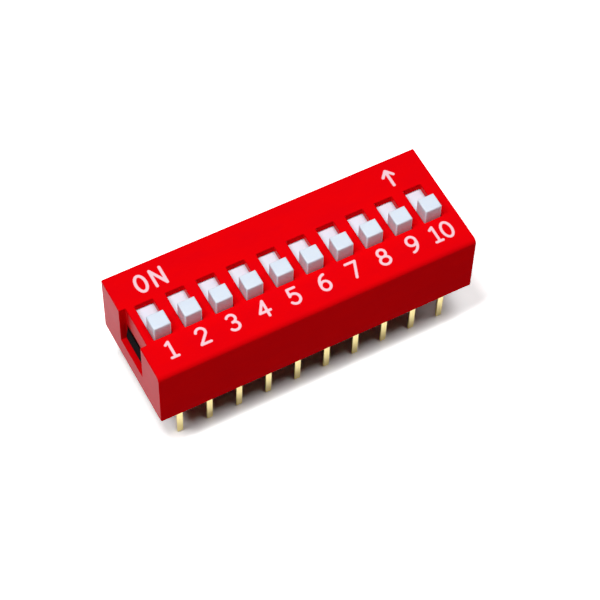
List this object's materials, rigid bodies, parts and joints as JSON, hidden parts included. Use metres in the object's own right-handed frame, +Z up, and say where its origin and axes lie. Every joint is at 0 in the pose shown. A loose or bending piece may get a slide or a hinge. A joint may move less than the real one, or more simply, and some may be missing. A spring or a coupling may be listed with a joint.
{
  "type": "dip switch",
  "caption": "Dual in-line slide switch for a circuit board: a red housing with a row of numbered windows, a white slide knob in each, and two rows of flat gold pins.",
  "frame": {"origin": "middle of the footprint, at the level of the pin tips", "axes": "+X along the row towards the last switch, +Y from the OFF side to the ON side, +Z up out of the board"},
  "size_m": [0.0268, 0.0098, 0.0118],
  "materials": {
    "red_cover": "satin moulded",
    "black_base": "matt moulded",
    "white_slide": "satin moulded",
    "spring_contact": "gold plated",
    "gold_terminal": "gold plated"
  },
  "bodies": {
    "housing": {"cover": "red_cover", "base": "black_base", "terminal_front_01": "gold_terminal", "terminal_front_02": "gold_terminal", "terminal_front_03": "gold_terminal", "terminal_front_04": "gold_terminal", "terminal_front_05": "gold_terminal", "terminal_front_06": "gold_terminal", "terminal_front_07": "gold_terminal", "terminal_front_08": "gold_terminal", "terminal_front_09": "gold_terminal", "terminal_front_10": "gold_terminal", "terminal_rear_01": "gold_terminal", "terminal_rear_02": "gold_terminal", "terminal_rear_03": "gold_terminal", "terminal_rear_04": "gold_terminal", "terminal_rear_05": "gold_terminal", "terminal_rear_06": "gold_terminal", "terminal_rear_07": "gold_terminal", "terminal_rear_08": "gold_terminal", "terminal_rear_09": "gold_terminal", "terminal_rear_10": "gold_terminal"},
    "switch_01": {"slider_01": "white_slide", "contact_01": "spring_contact"},
    "switch_02": {"slider_02": "white_slide", "contact_02": "spring_contact"},
    "switch_03": {"slider_03": "white_slide", "contact_03": "spring_contact"},
    "switch_04": {"slider_04": "white_slide", "contact_04": "spring_contact"},
    "switch_05": {"slider_05": "white_slide", "contact_05": "spring_contact"},
    "switch_06": {"slider_06": "white_slide", "contact_06": "spring_contact"},
    "switch_07": {"slider_07": "white_slide", "contact_07": "spring_contact"},
    "switch_08": {"slider_08": "white_slide", "contact_08": "spring_contact"},
    "switch_09": {"slider_09": "white_slide", "contact_09": "spring_contact"},
    "switch_10": {"slider_10": "white_slide", "contact_10": "spring_contact"}
  },
  "joints": [
    {"name": "slide_01", "type": "slide", "parent": "housing", "child": "switch_01", "axis": [0, 1, 0], "range_m": [0, 0.0019]},
    {"name": "slide_02", "type": "slide", "parent": "housing", "child": "switch_02", "axis": [0, 1, 0], "range_m": [0, 0.0019]},
    {"name": "slide_03", "type": "slide", "parent": "housing", "child": "switch_03", "axis": [0, 1, 0], "range_m": [0, 0.0019]},
    {"name": "slide_04", "type": "slide", "parent": "housing", "child": "switch_04", "axis": [0, 1, 0], "range_m": [0, 0.0019]},
    {"name": "slide_05", "type": "slide", "parent": "housing", "child": "switch_05", "axis": [0, 1, 0], "range_m": [0, 0.0019]},
    {"name": "slide_06", "type": "slide", "parent": "housing", "child": "switch_06", "axis": [0, 1, 0], "range_m": [0, 0.0019]},
    {"name": "slide_07", "type": "slide", "parent": "housing", "child": "switch_07", "axis": [0, 1, 0], "range_m": [0, 0.0019]},
    {"name": "slide_08", "type": "slide", "parent": "housing", "child": "switch_08", "axis": [0, 1, 0], "range_m": [0, 0.0019]},
    {"name": "slide_09", "type": "slide", "parent": "housing", "child": "switch_09", "axis": [0, 1, 0], "range_m": [0, 0.0019]},
    {"name": "slide_10", "type": "slide", "parent": "housing", "child": "switch_10", "axis": [0, 1, 0], "range_m": [0, 0.0019]}
  ]
}
